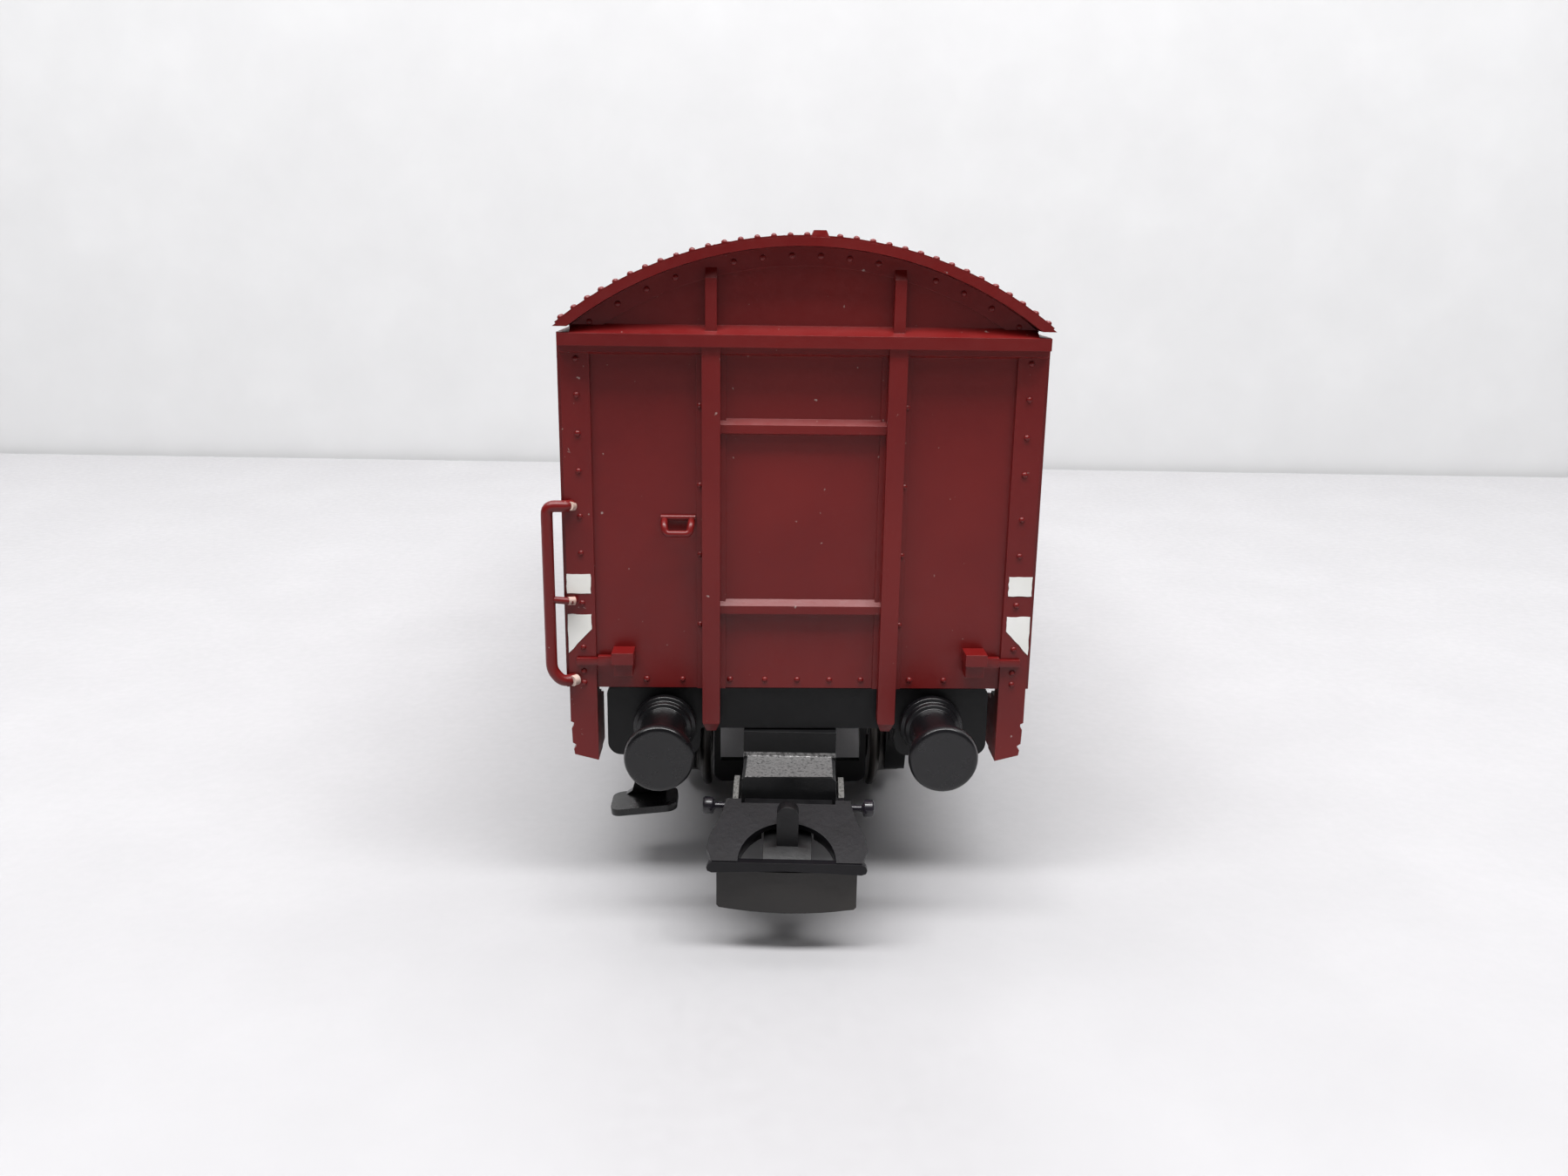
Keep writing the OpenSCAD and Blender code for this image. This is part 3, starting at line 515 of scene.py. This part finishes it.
SEAM_RISE = 0.12
SEAM_HALF = 0.6  # half the width of a seam plate
SEAM_ROW = 0.3  # from the middle of a plate to each of its two rows of rivets
SEAMS = (WALL_Y + ROOF_OVERHANG - 0.75, 36.6, 12.2)
bm = bmesh.new()
for seam in SEAMS:
    for side in (-1, 1):
        roof_strip(bm, side * seam - SEAM_HALF, side * seam + SEAM_HALF, SEAM_RISE)
bmesh.ops.recalc_face_normals(bm, faces=bm.faces)
strips = add_object("roof_seam_plates", bm, RED, "wagon", smooth=30)

roof_places = []
for seam in SEAMS:
    for side in (-1, 1):
        for offset in (-SEAM_ROW, SEAM_ROW):
            roof_places += roof_row(side * (seam + offset), span_x=16.9, count=33, r=ROOF_R + SEAM_RISE)
rivets("roof_rivets", roof_places, r=0.22, h=0.2)

# A row under the roof's rim, left out where the two end posts stand
GABLE_ROW_R = ROOF_R - 1.25
POST_X = 6.55
POST_CLEAR = 0.9
gable_places = []
for x in range(-15, 16, 2):
    if abs(abs(x) - POST_X) > POST_CLEAR:
        z = ROOF_AXIS_Z + math.sqrt(GABLE_ROW_R ** 2 - x * x)
        gable_places.append(((x, -WALL_Y - FLANGE_PROUD, z), FRONT))
rivets_at_both_ends("gable_rivets", gable_places, r=0.22, h=0.1)

# ------------------------------------------------------------------ rivets on the sides

SIDE_POSTS = (-44.2, -33.2, -22.2, -11.9, 11.9, 22.2, 33.2, 44.2)
BARE_TO = 35  # the bottom row is left out along the lower door rail, as far as this


def on_side(sx, proud, y, z):
    """A place on the side wall at sx, standing proud of it, and the way out of the wall."""
    return (sx * (HALF_W + proud), y, z), (sx, 0, 0)


side_places = []
for sx in (-1, 1):
    for post_y in SIDE_POSTS:
        for k in range(10):
            for dy in (-0.66, 0.66):
                side_places.append(on_side(sx, 0.15, post_y + dy, 18.6 + 2.3 * k))
    for k in range(34):
        side_places.append(on_side(sx, 0.25, -51 + k * 102 / 33, 41.85))
    for y in [v * 2.6 + 14 for v in range(15)] + [-v * 2.6 - 14 for v in range(15)]:
        if not -BARE_TO < sx * y < 0:
            side_places.append(on_side(sx, 0, y, 16.75))
    for k in range(11):
        for y in (-WALL_Y + 0.95, WALL_Y - 0.95):
            side_places.append(on_side(sx, 0.25, y, 18.2 + 2.25 * k))
rivets("side_rivets", side_places, r=0.17, h=0.09)

# ------------------------------------------------------------------ paler grey pips near the middle of the buffer faces

buffer_lo, buffer_hi = lo("front_right_buffer"), hi("front_right_buffer")
buffer_x, buffer_z = (buffer_hi.x + buffer_lo.x) / 2, (buffer_hi.z + buffer_lo.z) / 2
PIP_Y = -HALF_LEN + 0.07
pips = []
for sx in (-1, 1):
    for k in range(5):
        a, d = random.uniform(0, 2 * math.pi), random.uniform(0.08, 0.34)
        place = (sx * buffer_x + d * math.cos(a), PIP_Y, buffer_z + d * math.sin(a) * 0.7)
        pips.append((place, FRONT))
rivets_at_both_ends("buffer_pips", pips, r=0.08, h=0.06, mat=PIP, slot="gloss_black")

# ------------------------------------------------------------------ handrail and stirrup handle


def tube(bm, path, radius, sides=14):
    """A closed round bar along a path of points in mm."""
    points = [Vector(p) for p in path]
    rings = []
    for i, p in enumerate(points):
        ahead = points[min(i + 1, len(points) - 1)] - points[max(i - 1, 0)]
        turn = ahead.to_track_quat("Z", "X").to_matrix()
        rings.append([
            bm.verts.new((p + turn @ Vector((radius * math.cos(t), radius * math.sin(t), 0))) * MM)
            for t in (2 * math.pi * k / sides for k in range(sides))
        ])
    for a, b in zip(rings, rings[1:]):
        def twist(o):
            return sum((a[k].co - b[(k + o) % sides].co).length for k in range(0, sides, 3))

        offset = min(range(sides), key=twist)
        for k in range(sides):
            j = (k + 1) % sides
            bm.faces.new((a[k], a[j], b[(k + 1 + offset) % sides], b[(k + offset) % sides]))
    bm.faces.new(list(reversed(rings[0])))
    bm.faces.new(rings[-1])


def rounded(points, r, steps=6):
    """The same path with its corners turned on an arc."""
    pts = [Vector(p) for p in points]
    out = [pts[0]]
    for before, corner, after in zip(pts, pts[1:], pts[2:]):
        a = (before - corner).normalized()
        b = (after - corner).normalized()
        cut = min(r, (before - corner).length * 0.45, (after - corner).length * 0.45)
        start, end = corner + a * cut, corner + b * cut
        for k in range(steps + 1):
            t = k / steps
            out.append(start * (1 - t) ** 2 + corner * 2 * t * (1 - t) + end * t * t)
    out.append(pts[-1])
    return out


def as_is(points):
    return points


def half_turned(points):
    return [(-p[0], -p[1], p[2]) for p in points]


def bars(name, paths, mat, replaces=None):
    """Round bars along (path, radius) pairs, as one piece."""
    bm = bmesh.new()
    for path, radius in paths:
        tube(bm, path, radius)
    bmesh.ops.recalc_face_normals(bm, faces=bm.faces)
    obj = add_object(name, bm, mat, "wagon", smooth=50, weighted=False)
    if replaces:
        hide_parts(replaces)


rail_x, rail_y, foot_x = -18.3, -WALL_Y - 0.8, -16.6
rail_outline = [
    (foot_x, rail_y + 0.55, 30.15),
    (foot_x - 0.35, rail_y, 30.2),
    (rail_x, rail_y, 30.2),
    (rail_x, rail_y, 17.9),
    (rail_x + 0.75, rail_y, 17.0),
    (foot_x, rail_y + 0.5, 17.05),
]
rail_rung = [
    (rail_x, rail_y, 23.3),
    (foot_x, rail_y, 23.15),
    (foot_x + 0.05, rail_y + 0.6, 23.15),
]
rail_paths = [(rounded(rail_outline, 0.75), 0.43), (rounded(rail_rung, 0.4), 0.27)]

# Pale plastic where the handrail's three feet meet the corner post
joint_top = [(foot_x - 0.05, rail_y - 0.02, 30.22), (foot_x + 0.12, rail_y + 0.5, 30.1)]
joint_middle = [(foot_x - 0.35, rail_y - 0.04, 23.2), (foot_x + 0.1, rail_y + 0.2, 23.15)]
joint_bottom = [(foot_x - 0.22, rail_y + 0.02, 17.02), (foot_x + 0.08, rail_y + 0.4, 17.05)]
joint_paths = [
    (rounded(joint_top, 0.1), 0.33),
    (rounded(joint_middle, 0.1), 0.31),
    (rounded(joint_bottom, 0.1), 0.4),
]

handle_y = -WALL_Y
stirrup = [
    (-9.93, handle_y + 0.1, 29.2),
    (-9.93, handle_y - 0.85, 28.9),
    (-9.8, handle_y - 1.08, 28.3),
    (-8.12, handle_y - 1.08, 28.3),
    (-7.99, handle_y - 0.85, 28.9),
    (-7.99, handle_y + 0.1, 29.2),
]
stirrup_root = [(-10.2, handle_y - 0.1, 29.3), (-7.7, handle_y - 0.1, 29.3)]
handle_paths = [(rounded(stirrup, 0.35), 0.26), (rounded(stirrup_root, 0.1), 0.22)]

for end, turned in (("front", as_is), ("rear", half_turned)):
    bars(
        end + "_corner_handrail_bar", [(turned(q), r) for q, r in rail_paths], RED,
        end + "_corner_handrail",
    )
    bars(end + "_handrail_joints", [(turned(q), r) for q, r in joint_paths], PALE)
    bars(end + "_end_handle_bar", [(turned(q), r) for q, r in handle_paths], RED, end + "_end_handle")

# ------------------------------------------------------------------ white marks on the corner posts

PAINT_THICK = 0.035
PAINT_SINK = 0.02
PAINT_WOBBLE = 0.035
EDGE_STEPS = 5


def patch(bm, outline, y):
    """A thin coat of paint on the front of a corner post, with a slightly uneven edge."""
    points = []
    for i in range(len(outline)):
        a, b = Vector(outline[i]), Vector(outline[(i + 1) % len(outline)])
        for k in range(EDGE_STEPS):
            p = a.lerp(b, k / EDGE_STEPS)
            wobble = PAINT_WOBBLE if k else 0.0
            points.append((p[0] + random.uniform(-wobble, wobble), p[1] + random.uniform(-wobble, wobble)))
    front, back = [], []
    for x, z in points:
        front.append(bm.verts.new(mm(x, y - PAINT_THICK, z)))
        back.append(bm.verts.new(mm(x, y + PAINT_SINK, z)))
    bm.faces.new(front)
    bm.faces.new(list(reversed(back)))
    for i in range(len(points)):
        j = (i + 1) % len(points)
        bm.faces.new((front[i], back[i], back[j], front[j]))


inner_x, outer_x = HALF_W - 1.75, HALF_W - 0.02
mark_y = -WALL_Y - CORNER_PROUD
# Heights of each mark at its inner top, outer top, outer bottom and inner bottom corner
MARK_HEIGHTS = ((25.09, 25.09, 23.63, 23.63), (22.04, 22.04, 19.07, 20.91))
marks = [
    list(zip((sx * inner_x, sx * outer_x, sx * outer_x, sx * inner_x), heights))
    for sx in (-1, 1) for heights in MARK_HEIGHTS
]
for end, turn in (("front", 0.0), ("rear", math.pi)):
    bm = bmesh.new()
    for outline in marks:
        patch(bm, outline, mark_y)
    bmesh.ops.rotate(bm, verts=bm.verts, cent=(0, 0, 0), matrix=Matrix.Rotation(turn, 3, "Z"))
    bmesh.ops.recalc_face_normals(bm, faces=bm.faces)
    bmesh.ops.triangulate(bm, faces=[f for f in bm.faces if len(f.verts) > 4])
    obj = add_object(end + "_white_marks", bm, WHITE, "wagon", smooth=30, weighted=False)

# ------------------------------------------------------------------ stage

TABLE = plastic(
    "pale_table", srgb(164, 163, 165), srgb(162, 161, 163), srgb(167, 166, 168), rough=0.45, grain=0.03
)
BACK = plastic(
    "pale_backdrop", srgb(204, 204, 205), srgb(202, 202, 203), srgb(207, 207, 208), rough=0.6, grain=0.02
)
# Painted shadow: the strip in the groove between table and backdrop is a darker grey than the table, for
# the shade in the groove.
GAP_SHADE = plastic(
    "gap_painted_shadow", srgb(150, 150, 152), srgb(146, 146, 148), srgb(156, 156, 158), rough=0.7, grain=0.02
)
REACH = 900  # how far the stage reaches to each side, to the front and up


def plane(name, corners, mat):
    bm = bmesh.new()
    bm.faces.new([bm.verts.new(mm(*c)) for c in corners])
    mesh = bpy.data.meshes.new(name)
    bm.to_mesh(mesh)
    bm.free()
    mesh.materials.append(mat)
    obj = bpy.data.objects.new(name, mesh)
    bpy.context.scene.collection.objects.link(obj)


def far_edge(x, beyond=0.0):
    """Y of the table's far edge, which runs slightly askew behind the wagon."""
    return 147.6 - 0.035 * x + beyond


def along_far_edge(near, near_z, far, far_z):
    """Corners of a plane between two lines that run beside the table's far edge."""
    return [
        (-REACH, far_edge(-REACH, near), near_z),
        (REACH, far_edge(REACH, near), near_z),
        (REACH, far_edge(REACH, far), far_z),
        (-REACH, far_edge(-REACH, far), far_z),
    ]


plane(
    "table",
    [(-REACH, -REACH, 0), (REACH, -REACH, 0), (REACH, far_edge(REACH), 0), (-REACH, far_edge(-REACH), 0)],
    TABLE,
)
# The groove's strip carries the painted shadow.
plane("joint", along_far_edge(-1, -1.6, 3, -1.6), GAP_SHADE)
plane("backdrop", along_far_edge(2.2, -2, 60, REACH), BACK)

# ------------------------------------------------------------------ camera and light

CAMERA_PLACE = (-3.88, -HALF_LEN - 83.008, 48.058)
PAN, TILT, ROLL = -1.692, 14.874, 0.834  # in degrees

camera_data = bpy.data.cameras.new("camera")
camera_data.sensor_width = 36
camera_data.lens = 29.146
camera_data.clip_start = 0.004
camera_data.clip_end = 20
camera = bpy.data.objects.new("camera", camera_data)
bpy.context.scene.collection.objects.link(camera)
pan, tilt, roll = math.radians(PAN), math.radians(TILT), math.radians(ROLL)
forward_flat = Vector((math.sin(-pan), math.cos(pan), 0))
right = Vector((forward_flat.y, -forward_flat.x, 0))
forward = forward_flat * math.cos(tilt) - Vector((0, 0, 1)) * math.sin(tilt)
up = right.cross(forward)
right_r = right * math.cos(roll) + up * math.sin(roll)
up_r = up * math.cos(roll) - right * math.sin(roll)
camera.matrix_world = Matrix.Translation(mm(*CAMERA_PLACE)) @ Matrix(
    (
        (right_r.x, up_r.x, -forward.x),
        (right_r.y, up_r.y, -forward.y),
        (right_r.z, up_r.z, -forward.z),
    )
).to_4x4()
bpy.context.scene.camera = camera


def area_light(name, place, target, size, power):
    data = bpy.data.lights.new(name, "AREA")
    data.shape = "RECTANGLE"
    data.size, data.size_y = size[0] * MM, size[1] * MM
    data.energy = power
    obj = bpy.data.objects.new(name, data)
    bpy.context.scene.collection.objects.link(obj)
    obj.location = mm(*place)
    obj.rotation_euler = (mm(*target) - mm(*place)).to_track_quat("-Z", "Y").to_euler()


area_light("front_strip", (0, -200, 600), (0, -60, 0), (900, 140), 7.9)
area_light("low_strip", (0, -360, 500), (0, -60, 20), (900, 140), 0.9)
area_light("middle_strip", (0, 60, 600), (0, 20, 0), (900, 140), 1.0)
area_light("backdrop_strip", (0, 60, 420), (0, 160, 60), (900, 100), 0.8)

world = bpy.data.worlds.new("studio")
bpy.context.scene.world = world
world.use_nodes = True
background = world.node_tree.nodes["Background"]
background.inputs["Color"].default_value = (0.97, 0.97, 1.0, 1)
background.inputs["Strength"].default_value = 0.03
bpy.context.scene.view_settings.view_transform = "Standard"
